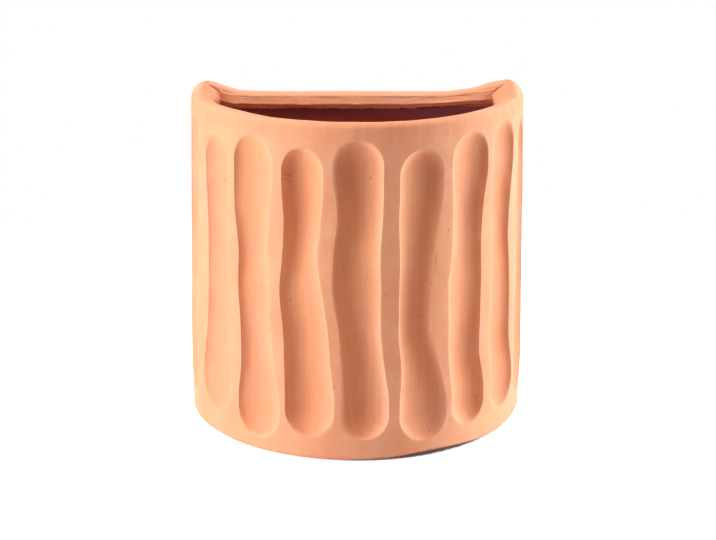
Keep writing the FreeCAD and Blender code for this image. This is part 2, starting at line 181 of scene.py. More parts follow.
def by_side(across, pair):
    """A smooth curve through one or the other list of places and values, by the side."""
    left, right = (through(np.abs(across), *zip(*stations)) for stations in pair)
    return side_of(across, (left, right))


def swell(points, wavelength, seed, count=20):
    """A gentle random field over points, about -1 to 1, with features of one wavelength."""
    rng = np.random.default_rng(seed)
    field = np.zeros(points.shape[:-1])
    for _ in range(count):
        heading = rng.normal(size=3)
        heading *= rng.uniform(0.6, 1.3) / np.linalg.norm(heading)
        field += np.sin(points @ heading * (2 * math.pi / wavelength) + rng.uniform(0, 6.3))
    return field / math.sqrt(count)


def uneven(points, waves):
    """The sum of random fields over points, from the height, wavelength and seed of each."""
    return sum(height * swell(points, wavelength, seed) for height, wavelength, seed in waves)


def grid_normals(points):
    """Unit normals of a grid of points, closed along its second direction."""
    along = np.gradient(points, axis=0)
    across = np.roll(points, -1, axis=1) - np.roll(points, 1, axis=1)
    normal = np.cross(along, across)
    length = np.linalg.norm(normal, axis=-1, keepdims=True)
    return normal / np.maximum(length, 1e-9)


def tube_faces(rows, ring, caps=True):
    """Faces of a tube of rows rings, each of ring points, with a face over each end."""
    first = np.arange(ring)
    second = (first + 1) % ring
    faces = []
    for row in range(rows - 1):
        base = row * ring
        quads = np.stack([base + first, base + second, base + ring + second,
                          base + ring + first], axis=1)
        faces += quads.tolist()
    if caps:
        faces.append(first[::-1].tolist())
        faces.append((first + (rows - 1) * ring).tolist())
    return faces


def build(name, points, faces, fields, crease=50.0):
    """A mesh piece from points in millimetres, with fields as named values on its points.

    It is smooth but for edges sharper than crease degrees and those round its end caps.
    """
    points = np.asarray(points, float).reshape(-1, 3)
    moved = points + (0.0, HALF_DEPTH, 0.0)
    moved[:, 0] -= LEAN * (1.0 - points[:, 2] / LIP_HEIGHT)
    moved *= MM
    mesh = bpy.data.meshes.new(name)
    mesh.from_pydata(moved.tolist(), [], faces)
    mesh.update()

    # The faces look outwards once the volume that they enclose is positive.
    mesh.calc_loop_triangles()
    corners = np.empty(len(mesh.loop_triangles) * 3, np.int32)
    mesh.loop_triangles.foreach_get("vertices", corners)
    a, b, c = (moved[corners.reshape(-1, 3)[:, k]] for k in range(3))
    if np.einsum("ij,ij->i", a, np.cross(b, c)).sum() < 0:
        mesh.flip_normals()

    for field, values in fields.items():
        layer = mesh.attributes.new(field, "FLOAT", "POINT")
        layer.data.foreach_set("value", np.asarray(values, np.float32).ravel())
    mesh.shade_smooth()
    mesh.set_sharp_from_angle(angle=math.radians(crease))
    for face in mesh.polygons:
        if face.loop_total > 4:
            for loop in face.loop_indices:
                mesh.edges[mesh.loops[loop].edge_index].use_edge_sharp = True
    piece = bpy.data.objects.new(name, mesh)
    bpy.context.scene.collection.objects.link(piece)
    return piece


# ---------------------------------------------------------------------------------------------
# Flutes
# ---------------------------------------------------------------------------------------------

def wall_radius(z):
    """Radius of the wall's outer face between the flutes."""
    return FOOT_RADIUS - (FOOT_RADIUS - LIP_RADIUS) * z / LIP_HEIGHT


def flute_line(flute, z):
    """Centre angle in degrees, half width and depth of a flute at heights z."""
    turn, crown, toe, share, *stations = flute
    places = np.linspace(toe + FLUTE_HEEL, LIP_HEIGHT - crown - FLUTE_SHOULDER, len(stations))
    halves, sways = zip(*stations)
    half = through(z, places, halves)
    sway = through(z, places, sways)
    depth = share * through(z, places, FLUTE_DEPTHS)
    return turn + np.degrees(sway / FOOT_RADIUS), half, depth


def flute_place(flute, angle, z):
    """Half width and depth of a flute at heights z, how far points at angles are to the side of
    its middle line, and how far they are past the start of its round ends."""
    centre, half, depth = flute_line(flute, z)
    inset = np.minimum(LIP_HEIGHT - flute[1] - z, z - flute[2])
    past = np.maximum(half - inset, 0.0)
    across = np.radians(angle - centre) * wall_radius(z)
    return half, depth, across, past


def chatter(marks, cut, half, across, z):
    """The ripples of a tool that skipped, near the left edge of a flute."""
    low, tall, deep = marks
    off = np.abs(across + CHATTER_PLACE * half)
    where = ease((cut - 0.3) / 0.8) * ease((5.0 - off) / 3.5)
    where = where * ease(1.0 - np.abs(z - low - tall / 2) / (tall / 2))
    return deep * where * np.sin(z * 2.3 + 1.1 * across + 0.8 * np.sin(z))


def flute_depth(angle, z):
    """How deep the gouges cut at angles and heights."""
    total = np.zeros(np.broadcast(angle, z).shape)
    for flute in FLUTES:
        half, depth, across, past = flute_place(flute, angle, z)
        bend = (half ** 2 + depth ** 2) / (2 * depth)
        reach = np.clip(bend ** 2 - across ** 2 - past ** 2, 0.0, None)
        cut = np.sqrt(reach) - (bend - depth)
        cut = np.where(cut > 0, depth * (np.maximum(cut, 0.0) / depth) ** FLUTE_FULL, cut)
        fade = np.where(cut < -FLUTE_EDGE, 0.0, (cut + FLUTE_EDGE) ** 2 / (4 * FLUTE_EDGE))
        soft = np.where(cut > FLUTE_EDGE, cut, fade)
        if flute[0] in CHATTER:
            soft = soft + chatter(CHATTER[flute[0]], cut, half, across, z)
        total = np.maximum(total, soft)
    return total


def flute_edge(angle, z):
    """1 along the edges of the gouges, fading within about a millimetre."""
    found = np.zeros(np.broadcast(angle, z).shape)
    for flute in FLUTES:
        half, _, across, past = flute_place(flute, angle, z)
        away = np.hypot(across, past) - half
        found = np.maximum(found, np.exp(-(away / EDGE_WORN) ** 2))
    return found


# ---------------------------------------------------------------------------------------------
# Front wall
# ---------------------------------------------------------------------------------------------

RIDGE_COLUMNS = 8
FLUTE_COLUMNS = 38
RIDGE_CROWD = 0.2             # how much closer the columns stand at the flutes' edges
FLUTE_CROWD = 0.6
FINE_ROWS, COARSE_ROWS = 0.85, 2.3
FINE_ZONES = ((8.0, 40.0), (176.0, 213.0))    # the flutes' round ends
ROWS_LIFTED = (185.0, 30.0)   # where the rows start to follow the rim, and over what height
INSIDE_ROWS = (2.0, 4.5, 7.5, 11.0, 15.0, 20.0, 27.0, 36.0, 50.0, 65.0, 80.0, 95.0, 110.0, 125.0,
               140.0, 155.0, 170.0, 185.0, 196.0, 205.0)      # below the rim's inner edge
INSIDE_TALL = 214.0           # from that edge down to the foot
SHIFTED = 0.4                 # share of the columns' shift to the inside on the rim's outer side


def rim_climb(angle):
    """0 on the plain lip to 1 at the corner."""
    return ease((np.abs(angle) - (90.0 - HORN_REACH)) / HORN_REACH)


def rim_height(angle):
    """Height of the rim's crest."""
    return LIP_HEIGHT + side_of(angle, HORN_RISE) * rim_climb(angle)


def rim_round(angle):
    """Width and height of the rim's outer rounding."""
    climb = rim_climb(angle)
    return (RIM_WIDE + side_of(angle, HORN_WIDE) * climb,
            RIM_TALL + side_of(angle, HORN_TALL) * climb)


def beside_back(angle):
    """Whether the wall's inside is hidden by the back there."""
    return np.abs(angle) > 0.5 * (SEAM + NOSE)


def rear_drop(inward, rounding):
    """How far an edge at the back plane is rounded down, inward millimetres from that plane.
    The rounding ends a little short of upright."""
    short = np.clip(rounding - inward, 0.0, rounding)
    return rounding - np.sqrt(rounding ** 2 - 0.92 * short ** 2)


def outer_columns(z):
    """Column angles at a height: close together at the flutes' edges."""
    breaks = [-90.0]
    for flute in FLUTES:
        centre, half, _ = flute_line(flute, np.float64(z))
        reach = math.degrees(half / wall_radius(z))
        breaks += [float(centre) - reach, float(centre) + reach]
    breaks.append(90.0)
    angles = []
    for k in range(len(breaks) - 1):
        count, crowd = (FLUTE_COLUMNS, FLUTE_CROWD) if k % 2 else (RIDGE_COLUMNS, RIDGE_CROWD)
        t = np.arange(count) / count
        if k == 0:
            t = t ** 2
        elif k == len(breaks) - 2:
            t = 1 - (1 - t) ** 2
        else:
            t = t - crowd * np.sin(2 * math.pi * t) / (2 * math.pi)
        angles.append(breaks[k] + (breaks[k + 1] - breaks[k]) * t)
    return np.append(np.concatenate(angles), 90.0)


def spaced(low, high, fine, coarse, fine_zones):
    """Rows from low to high, fine apart in fine_zones and coarse apart elsewhere."""
    z, rows = low, [low]
    while z < high - fine * 0.5:
        near = min(min(abs(z - a), abs(z - b)) * (not a <= z <= b) for a, b in fine_zones)
        z += fine + (coarse - fine) * float(ease(near / 14.0))
        rows.append(min(z, high))
    return np.array(rows)


def wall_grid():
    """Angles, radii and heights of the wall's points: in columns round the wall, and in rows
    that run under the foot, up the outside, over the rim and down the inside."""
    foot_angles = outer_columns(0.0)
    top_angles = outer_columns(LIP_HEIGHT)
    count = len(top_angles)

    # Columns of the inside: even, but for the seam with the back and the corner's smear.
    seam = int(np.searchsorted(top_angles, -SEAM))
    anchors = [0, seam, seam + 1, count - 2 - seam, count - 1 - seam, count - 1]
    inner_angles = np.interp(np.arange(count), anchors, [-90.0, -SEAM, -NOSE, NOSE, SEAM, 90.0])

    rows = []

    def add(angles, radius, height):
        rows.append(np.broadcast_arrays(angles, radius, height))

    for part in np.linspace(0.0, 1.0, 4):
        add(inner_angles + (foot_angles - inner_angles) * part,
            INNER_RADIUS + (FOOT_RADIUS - FOOT_ROUND - INNER_RADIUS) * part, 0.0)
    for turn in np.linspace(0.0, 1.0, 11)[1:-1] * math.pi / 2:
        add(foot_angles, FOOT_RADIUS - FOOT_ROUND * (1 - math.sin(turn)),
            FOOT_ROUND * (1 - math.cos(turn)))
    for z in spaced(FOOT_ROUND, LIP_HEIGHT - RIM_START, FINE_ROWS, COARSE_ROWS, FINE_ZONES):
        angles = outer_columns(z)
        to_rim = rim_height(angles) - LIP_HEIGHT + RIM_START - rim_round(angles)[1]
        add(angles, wall_radius(z) - flute_depth(angles, z),
            z + ease((z - ROWS_LIFTED[0]) / ROWS_LIFTED[1]) * to_rim)

    # The rim's outer side.  At the ends it stops where the back takes over.
    for part in np.linspace(0.0, 1.0, 11)[1:]:
        angles = top_angles + (inner_angles - top_angles) * SHIFTED * part
        wide, tall = rim_round(angles)
        stop = np.where(beside_back(angles), np.maximum(1 - WALL_THICK / wide, 0.0), 0.0)
        turn = part * np.arccos(stop)
        add(angles, LIP_RADIUS - wide * (1 - np.cos(turn)),
            rim_height(angles) - tall * (1 - np.sin(turn)))

    # Its inner side, with the clay smeared inwards at the corners.
    for part in np.linspace(0.0, 1.0, 15)[1:]:
        shift = SHIFTED + (1.0 - SHIFTED) * min(1.0, part * 2)
        angles = top_angles + (inner_angles - top_angles) * shift
        climb, behind = rim_climb(angles), beside_back(angles)
        crest = LIP_RADIUS - rim_round(angles)[0]
        wide = np.where(behind, 0.0, crest - INNER_RADIUS + by_side(angles, SMEAR))
        tall = RIM_DROP + HORN_DROP * climb
        bluff = 2.0 / (2.0 - side_of(angles, HORN_BLUFF) * climb)
        turn = part * math.pi / 2
        sunk = np.where(behind, part, 1 - math.cos(turn) ** bluff)
        radius = np.where(behind, INNER_RADIUS, crest) - wide * math.sin(turn) ** bluff
        away = side_of(angles, SMEAR_AWAY) * ease((INNER_RADIUS - radius) / 7.0)
        away = away * ease((np.abs(angles) - 79.0) / 3.0) * ~behind
        add(angles - np.sign(angles) * away, radius, rim_height(angles) - tall * sunk)

    _, edge_radius, edge_height = rows[-1]
    for depth in INSIDE_ROWS:
        add(inner_angles, edge_radius + (INNER_RADIUS - edge_radius) * ease((depth - 3.0) / 9.0),
            edge_height * (1 - depth / INSIDE_TALL))
    return [np.stack(values, axis=1) for values in zip(*rows)]


def wall_fields(turn, radius, height, from_back):
    """How deep in a flute the wall's clay is; its painted shade in the flutes, on the lip band and
    inside; the painted shadow line under the foot; wear along the gouges' edges; and chalk with a
    painted highlight on the lip's crest.
    """
    outer = radius > OUTER_FACE
    # How deep in a flute; the same value sets the painted shade in the flutes
    recess_and_shade = np.where(outer, flute_depth(turn, height), 0.0) / TYPICAL_DEPTH
    # Painted shade on the lip band, stronger towards the corners
    sideways = ease((np.abs(turn) - 48.0) / 20.0)
    recess_and_shade = np.maximum(recess_and_shade, (0.9 + 0.3 * sideways) * ease((height - LIP_BAND) / 10.0))
    # Painted shade on the wall's inside
    inside = SHADED * ease((INNER_RADIUS + 1.0 - radius) / 1.5)
    inside = inside * ease((LIP_HEIGHT - RIM_DROP - height) / 2.5) * ease((from_back - 3.0) / 4.0)
    # A painted highlight along the lip's crest, made with chalk
    crest = np.exp(-((radius - LIP_RADIUS + 4.5) / 2.2) ** 2) * ease((height - 218.0) / 2.5)
    # A painted shadow line under the foot's rounding
    foot_shadow = ease((through(turn, *zip(*FOOT_SHADOW_LINE)) - height) / 0.6) * FOOT_SHADOW_DARK
    return {"recess_and_shade": recess_and_shade, "inside": inside,
            "edge": np.where(outer, flute_edge(turn, height), 0.0),
            "rim": 0.2 * ease((height - LIP_BAND) / 12.0) + 2.6 * crest,
            "foot_shadow": foot_shadow * outer}


def make_front_wall():
    """The half-round wall with its foot, flutes, rim and raised corners."""
    turn, radius, height = wall_grid()
    angle = np.radians(turn)

    tuck = through(turn, *zip(*FOOT_TUCK)) * (1.0 - ease(height / FOOT_TUCK_TALL))
    radius = radius - tuck * ease((radius - OUTER_FACE) / 6.0)

    # The ends are rounded towards the back plane.
    from_back = radius * np.cos(angle)
    inset = np.clip(END_ROUND - from_back, 0.0, END_ROUND)
    inset = END_ROUND - np.sqrt(END_ROUND ** 2 - inset ** 2)
    radius = radius - inset * ease((radius - INNER_RADIUS) / 8.0)
    height = height - rear_drop(from_back, TOP_ROUND) * ease((height - 200.0) / 20.0)

    points = np.stack([radius * np.sin(angle), -radius * np.cos(angle), height], axis=-1)
    loose = ease(height / 6.0) * ease((from_back - 1.0) / 12.0)
    points += grid_normals(points) * (loose * uneven(points, WALL_UNEVEN))[..., None]
    return build("wall_clay", points, tube_faces(*points.shape[:2]),
                 wall_fields(turn, radius, height, from_back))


# ---------------------------------------------------------------------------------------------
# Back
# ---------------------------------------------------------------------------------------------

BACK_COLUMNS = 221
# Rows over the back's top edge, by their distance from the back plane
BACK_TOP_ROWS = (11.5, 11.44, 11.2, 10.8, 10.2, 9.5, 8.7, 7.8, 6.9, 6.0, 5.1, 4.2, 3.4, 2.6, 1.9,
                 1.25, 0.7, 0.3, 0.08, 0.0)
FINE_FROM, FINE_TO = 0.84, 0.98     # shares of its height between which the front is fine
STRIPE_TOP = 211.6            # top of the painted shade stripe on its front, under the strip's lower edge
STRIPE_FADE = (196.0, 12.0)   # where the stripe starts to darken, and over what height
# A hanging hole's bevel: how much wider than the hole, and y from the panel's face
HANG_BEVEL = ((2.2, 2.5), (1.0, -0.2), (0.35, -0.9), (0.0, -1.9))


def back_top(x, y):
    """Height of the back's top surface at x and y millimetres in front of the back plane."""
    rise = by_side(x, BACK_RISE)
    corner = ease((np.abs(x) - 80.0) / 16.0)
    flush = ease((np.abs(x) - 90.0) / 5.5)      # 1 where it meets the wall's ends
    sink = (0.26 * side_of(x, HORN_RISE) * corner + 0.7 * flush) * (y / BACK_THICK) ** 2
    rear = rear_drop(y, BACK_EDGE + (TOP_ROUND - BACK_EDGE) * corner)
    inner = (2.2 + 2.0 * ease((np.abs(x) - 66.0) / 30.0)) * (1.0 - 0.85 * flush)
    near = np.clip(y - (BACK_THICK - inner), 0.0, inner)
    return BACK_TOP + rise - sink - rear - (inner - np.sqrt(inner ** 2 - near ** 2))


def make_back():
    """The back panel with its two hanging holes."""
    xs = np.linspace(-1.0, 1.0, BACK_COLUMNS)
    ring = [(y, 0.0) for y in np.linspace(0.0, BACK_THICK, 6)[:-1]]
    ring += [(BACK_THICK, part) for part in np.linspace(0.0, FINE_FROM, 46)[:-1]]
    ring += [(BACK_THICK, part) for part in np.linspace(FINE_FROM, FINE_TO, 50)]
    ring += [(y, 1.0) for y in BACK_TOP_ROWS]
    ring += [(0.0, part) for part in np.linspace(FINE_TO, 0.0, 60)[:-1]]
    points = np.zeros((len(xs), len(ring), 3))
    for j, (y, part) in enumerate(ring):
        x = xs * math.sqrt((INNER_RADIUS + BACK_BITE) ** 2 - y * y)
        points[:, j] = np.stack([x, np.full_like(x, -y), part * back_top(x, y)], axis=-1)
    loose = ease(points[..., 2] / 6.0) * ease(-points[..., 1] / 4.0)
    loose = loose * ease((INNER_RADIUS - np.abs(points[..., 0])) / 8.0)
    points += grid_normals(points) * (loose * uneven(points, BACK_UNEVEN))[..., None]

    # Painted shade on its front: darkest just under the strip, lighter lower down
    front, height = -points[..., 1], points[..., 2]
    inside = ease((STRIPE_TOP - height) / 0.8) * ease((front - 9.0) / 2.0)
    inside = inside * (SHADED + (1.0 - SHADED) * ease((height - STRIPE_FADE[0]) / STRIPE_FADE[1]))
    # Its top is made lighter with chalk as painted light
    back = build("back_clay", points, tube_faces(len(xs), len(ring)),
                 {"inside": inside, "rim": 3.0 * ease((height - 215.0) / 3.0)})
    for side in (-1.0, 1.0):
        carve(back, hole_cutter(side * HANG_SPACING / 2, HANG_HEIGHT))
    return back


def hole_cutter(x, z):
    """A cutter for a hanging hole, a little uneven as a stick leaves it."""
    profile = [(HANG_RADIUS + wider, y) for wider, y in HANG_BEVEL]
    profile += [(HANG_RADIUS + wider, -BACK_THICK - y) for wider, y in reversed(HANG_BEVEL)]
    count = 48
    turn = np.arange(count) * 2 * math.pi / count
    points = []
    for radius, y in profile:
        reach = radius * (1 + 0.02 * np.sin(2 * turn + x) + 0.012 * np.sin(3 * turn + 1.0))
        points.append(np.stack([x + reach * np.cos(turn), np.full(count, y),
                                z + reach * np.sin(turn)], axis=-1))
    points = np.array(points)
    # Painted shade on the hole's walls, darker towards the front
    return build("cutter", points, tube_faces(len(profile), count),
                 {"inside": ease((-points[..., 1] - 3.0) / 8.0) * 0.8})


def carve(piece, cutter):
    """Cuts one mesh out of another for good."""
    boolean = piece.modifiers.new("cut", "BOOLEAN")
    boolean.operation = "DIFFERENCE"
    boolean.solver = "EXACT"
    boolean.object = cutter
    graph = bpy.context.evaluated_depsgraph_get()
    mesh = bpy.data.meshes.new_from_object(piece.evaluated_get(graph))
    piece.modifiers.clear()
    old = piece.data
    piece.data = mesh
    bpy.data.meshes.remove(old)
    bpy.data.objects.remove(cutter)


# ---------------------------------------------------------------------------------------------
# Floor, corner coils and rim strip
# ---------------------------------------------------------------------------------------------

FLOOR_SPOKES = 240
FLOOR_BITE = 0.5              # the floor reaches this far into the wall and the back
DRAIN_CHIP = 0.6              # the drain is this much wider at the foot
DRAIN_FLARE = 1.8             # and where its upper edge meets the floor
FLOOR_EDGE = FLOOR_THICK - 0.1      # height of the floor there
# The drain's rows: how much wider than the drain, and height
DRAIN_ROWS = ((0.1, 0.6), (0.0, 1.5), (0.0, 5.0), (0.0, 9.0), (0.0, FLOOR_THICK - 2.0),
              (0.25, FLOOR_THICK - 1.1), (0.9, FLOOR_THICK - 0.4), (DRAIN_FLARE, FLOOR_EDGE))
FILLET_WIDE, FILLET_TALL = 7.0, 4.0   # clay pressed into the seam round the floor


def make_floor():
    """The floor plate: rings round the drain hole out to the wall and the back."""
    turn = np.arange(FLOOR_SPOKES) * 2 * math.pi / FLOOR_SPOKES
    along, across = np.cos(turn), np.sin(turn)
    start = -DRAIN_FROM_BACK

    # Distance from the drain's middle to the wall and to the back along each direction
    to_wall = -across * start + np.sqrt((across * start) ** 2 + (INNER_RADIUS + FLOOR_BITE) ** 2
                                        - start ** 2)
    rearward = across > 1e-6
    to_back = np.where(rearward, (-BACK_THICK + FLOOR_BITE - start)
                       / np.where(rearward, across, 1e-6), 1e9)
    reach = np.minimum(to_wall, to_back)

    rings = []
    for part in np.linspace(0.0, 1.0, 10):
        rings.append((reach + (DRAIN_RADIUS + DRAIN_CHIP - reach) * part, 0.0))
    for wider, z in DRAIN_ROWS:
        rings.append((np.full(FLOOR_SPOKES, DRAIN_RADIUS + wider), z))
    for part in np.linspace(0.0, 1.0, 34)[1:] ** 0.9:
        distance = DRAIN_RADIUS + DRAIN_FLARE + (reach - DRAIN_RADIUS - DRAIN_FLARE) * part
        short = np.clip(FILLET_WIDE - (reach - distance), 0.0, FILLET_WIDE - 0.1)
        fillet = 1 - np.sqrt(1 - (short / FILLET_WIDE) ** 2)
        rings.append((distance, FLOOR_EDGE + FILLET_TALL * fillet))
    points = np.stack([np.stack([distance * along, start + distance * across,
                                 np.broadcast_to(z, FLOOR_SPOKES)], axis=-1)
                       for distance, z in rings])
    from_drain = np.linalg.norm(points[..., :2] - (0.0, start), axis=-1) - DRAIN_RADIUS
    loose = ease((points[..., 2] - 9.0) / 4.0) * ease(from_drain / 6.0)
    points[..., 2] += loose * uneven(points, FLOOR_UNEVEN)

    # The last ring joins the first one along the floor's outer edge.
    faces = tube_faces(len(rings), FLOOR_SPOKES, caps=False)
    last = (len(rings) - 1) * FLOOR_SPOKES
    spoke = np.arange(FLOOR_SPOKES)
    after = (spoke + 1) % FLOOR_SPOKES
    faces += np.stack([last + spoke, last + after, after, spoke], axis=1).tolist()
    # Painted shade on the floor's upper side
    return build("floor_clay", points, faces,
                 {"inside": SHADED * ease((points[..., 2] - 2.0) / 3.0)})


COIL_STEP = 1.9               # height between two rings of points
COIL_BITE = 0.7               # the coil reaches this far into the wall and the back


def make_coil(side, seed):
    """A coil of clay pressed into the corner between the wall and the back."""
    corner = math.acos(BACK_THICK / INNER_RADIUS)
    knee = np.array([INNER_RADIUS * math.sin(corner), -BACK_THICK])
    points = []
    for z in np.arange(FLOOR_THICK - 1.0, COIL_TOP + 0.1, COIL_STEP):
        thumb = 0.5 * math.sin(z / 5.2 + seed) + 0.3 * math.sin(z / 2.9 + 2 * seed)
        leg = COIL_LEG + 0.6 * thumb + 2.2 * float(ease((FLOOR_THICK + 7.0 - z) / 8.0))
        tip = corner - leg / INNER_RADIUS
        a = knee - (leg, 0.0)
        b = np.array([INNER_RADIUS * math.sin(tip), -INNER_RADIUS * math.cos(tip)])
        middle = (a + b) / 2
        hollow = middle + (knee - middle) * (0.18 + 0.05 * thumb)
        ring = [(1 - t) ** 2 * a + 2 * t * (1 - t) * (2 * hollow - middle) + t * t * b
                for t in np.linspace(0.0, 1.0, 15)]
        ring += [b + (COIL_BITE, -COIL_BITE), knee + (COIL_BITE, -COIL_BITE * 0.2),
                 knee + (COIL_BITE, COIL_BITE), a + (0.0, COIL_BITE)]
        points.append([(side * x, y, z) for x, y in ring])
    points = np.array(points)
    # Painted shade all over the coil
    return build("coil_" + ("left" if side < 0 else "right"), points,
                 tube_faces(*points.shape[:2]), {"inside": np.full(points.shape[:2], SHADED)},
                 crease=70.0)


STRIP_COLUMNS = 341
# The strip's section: out from the back's front face, up from the back's level top edge, shares
# of the rise of the strip's upper and lower edges and of the raggedness, and share of the waves
STRIP_SECTION = (
    (-2.6, -0.35, 1.0, 0.0, 0.0, 0.0),
    (-1.4, -0.30, 1.0, 0.0, 0.0, 0.0),
    (-0.4, -0.40, 1.0, 0.0, 0.0, 0.0),
    (0.5, -0.75, 1.0, 0.0, 0.0, 0.0),
    (1.2, -1.3, 1.0, 0.0, 0.0, 0.1),
    (1.55, -1.9, 1.0, 0.0, 0.0, 0.3),
    (1.45, -2.3, 1.0, 0.0, 0.0, 0.5),
    (1.75, -2.6, 1.0, 0.0, 0.0, 0.8),
    (2.05, -3.3, 0.9, 0.1, 0.0, 1.0),
    (2.55, -4.4, 0.6, 0.4, 0.0, 1.0),
    (3.3, -5.6, 0.2, 0.8, 0.0, 1.0),
    (3.8, -6.4, 0.0, 1.0, 0.0, 1.0),
    (3.6, -6.9, 0.0, 1.0, 0.0, 0.8),
    (3.2, -7.2, 0.0, 1.0, 0.2, 0.8),
    (3.3, -8.0, 0.0, 1.0, 0.4, 0.5),
    (3.2, -8.9, 0.0, 1.0, 0.8, 0.3),
    (2.5, -9.5, 0.0, 1.0, 1.0, 0.2),
    (-0.9, -9.8, 0.0, 1.0, 1.0, 0.0),
)
STRIP_DARK = (8.6, 0.6)       # how far below its upper edge its painted shade starts, and over what height


def make_strip():
    """The strip smeared under the back's top edge, with its ragged lower edge."""
    xs = np.linspace(-STRIP_REACH, STRIP_REACH, STRIP_COLUMNS)
    along = np.stack([xs, np.zeros_like(xs), np.zeros_like(xs)], axis=-1)
    ragged = uneven(along, STRIP_RAGGED)
    wave = uneven(along, STRIP_WAVE)
    high = by_side(xs, BACK_RISE) - 3.4 * ease((np.abs(xs) - 74.0) / 17.0)
    low = side_of(xs, (high, 3.0 * ease((xs - 30.0) / 62.0)))
    thinned = 1 - 0.55 * ease((np.abs(xs) - 78.0) / 14.0)
    points = np.zeros((len(xs), len(STRIP_SECTION), 3))
    for j, (out, up, of_high, of_low, of_ragged, of_wave) in enumerate(STRIP_SECTION):
        y = -BACK_THICK - (out * thinned if out > 0 else out)
        z = BACK_TOP + up + of_high * high + of_low * low + of_ragged * ragged
        points[:, j] = np.stack([xs, y - of_wave * wave, z], axis=-1)
    smear = (0.12 * swell(points * (0.22, 0.2, 1.6), 3.0, 46)
             + 0.10 * swell(points * (1.0, 0.2, 0.4), 4.0, 47))
    points[..., 1] -= smear * [section[-1] for section in STRIP_SECTION]
    # Painted shade below its ragged lower edge; chalk lightens its top
    below = (BACK_TOP + low)[:, None] - points[..., 2]
    return build("rim_strip", points, tube_faces(len(xs), len(STRIP_SECTION)),
                 {"inside": 0.25 * ease((below - STRIP_DARK[0]) / STRIP_DARK[1]),
                  "rim": ease((points[..., 2] - 215.0) / 3.0)}, crease=60.0)


PIECES = (
    (make_front_wall(), "front_wall"),
    (make_back(), "back_panel"),
    (make_floor(), "floor_slab"),
    (make_coil(-1.0, 1.0), "corner_coil_left"),
    (make_coil(1.0, 2.3), "corner_coil_right"),
    (make_strip(), "back_rim_strip"),
)
for piece, stands_for in PIECES:
    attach(piece, "root")
    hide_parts(stands_for)


# ---------------------------------------------------------------------------------------------
# Terracotta
# ---------------------------------------------------------------------------------------------

BODY = (0.83, 0.382, 0.208, 1.0)
DEEP = (0.79, 0.305, 0.145, 1.0)
OCHRE = (0.84, 0.375, 0.170, 1.0)
# Painted shade in the flutes and on the lip band
RECESS_SHADE = (0.81, 0.30, 0.138, 1.0)
# Painted shadow under the foot
FOOT_SHADOW_COLOUR = (0.03, 0.006, 0.004, 1.0)
CHALK = (0.86, 0.50, 0.335, 1.0)
# Painted shade inside
INSIDE_SHADE = (0.36, 0.12, 0.15, 1.0)
PIT = (0.28, 0.08, 0.045, 1.0)
SPECK = (0.95, 0.72, 0.58, 1.0)
# The rim's share of chalk also paints a highlight on the lip's crest and a lighter back top
CHALK_PATCHES, CHALK_EDGES, RIM_CHALK_AND_HIGHLIGHT = 0.28, 0.35, 0.12
SHADE = (0.92, 1.05)          # how much the fine lines and grain darken and lighten the clay
ROUGHNESS = (0.74, 0.9)
BUMP_HEIGHT = 0.0006          # in metres


def new_tree(owner):
    """The empty node tree of a material or a world."""
    owner.use_nodes = True
    tree = owner.node_tree
    tree.nodes.clear()
    return tree


def node(tree, kind, values=None, **settings):
    """A node with its settings, and its inputs from values or from other nodes' outputs."""
    made = tree.nodes.new(kind)
    for setting, value in settings.items():
        setattr(made, setting, value)
    for name, value in (values or {}).items():
        if isinstance(value, bpy.types.NodeSocket):
            tree.links.new(value, made.inputs[name])
        else:
            made.inputs[name].default_value = value
    return made


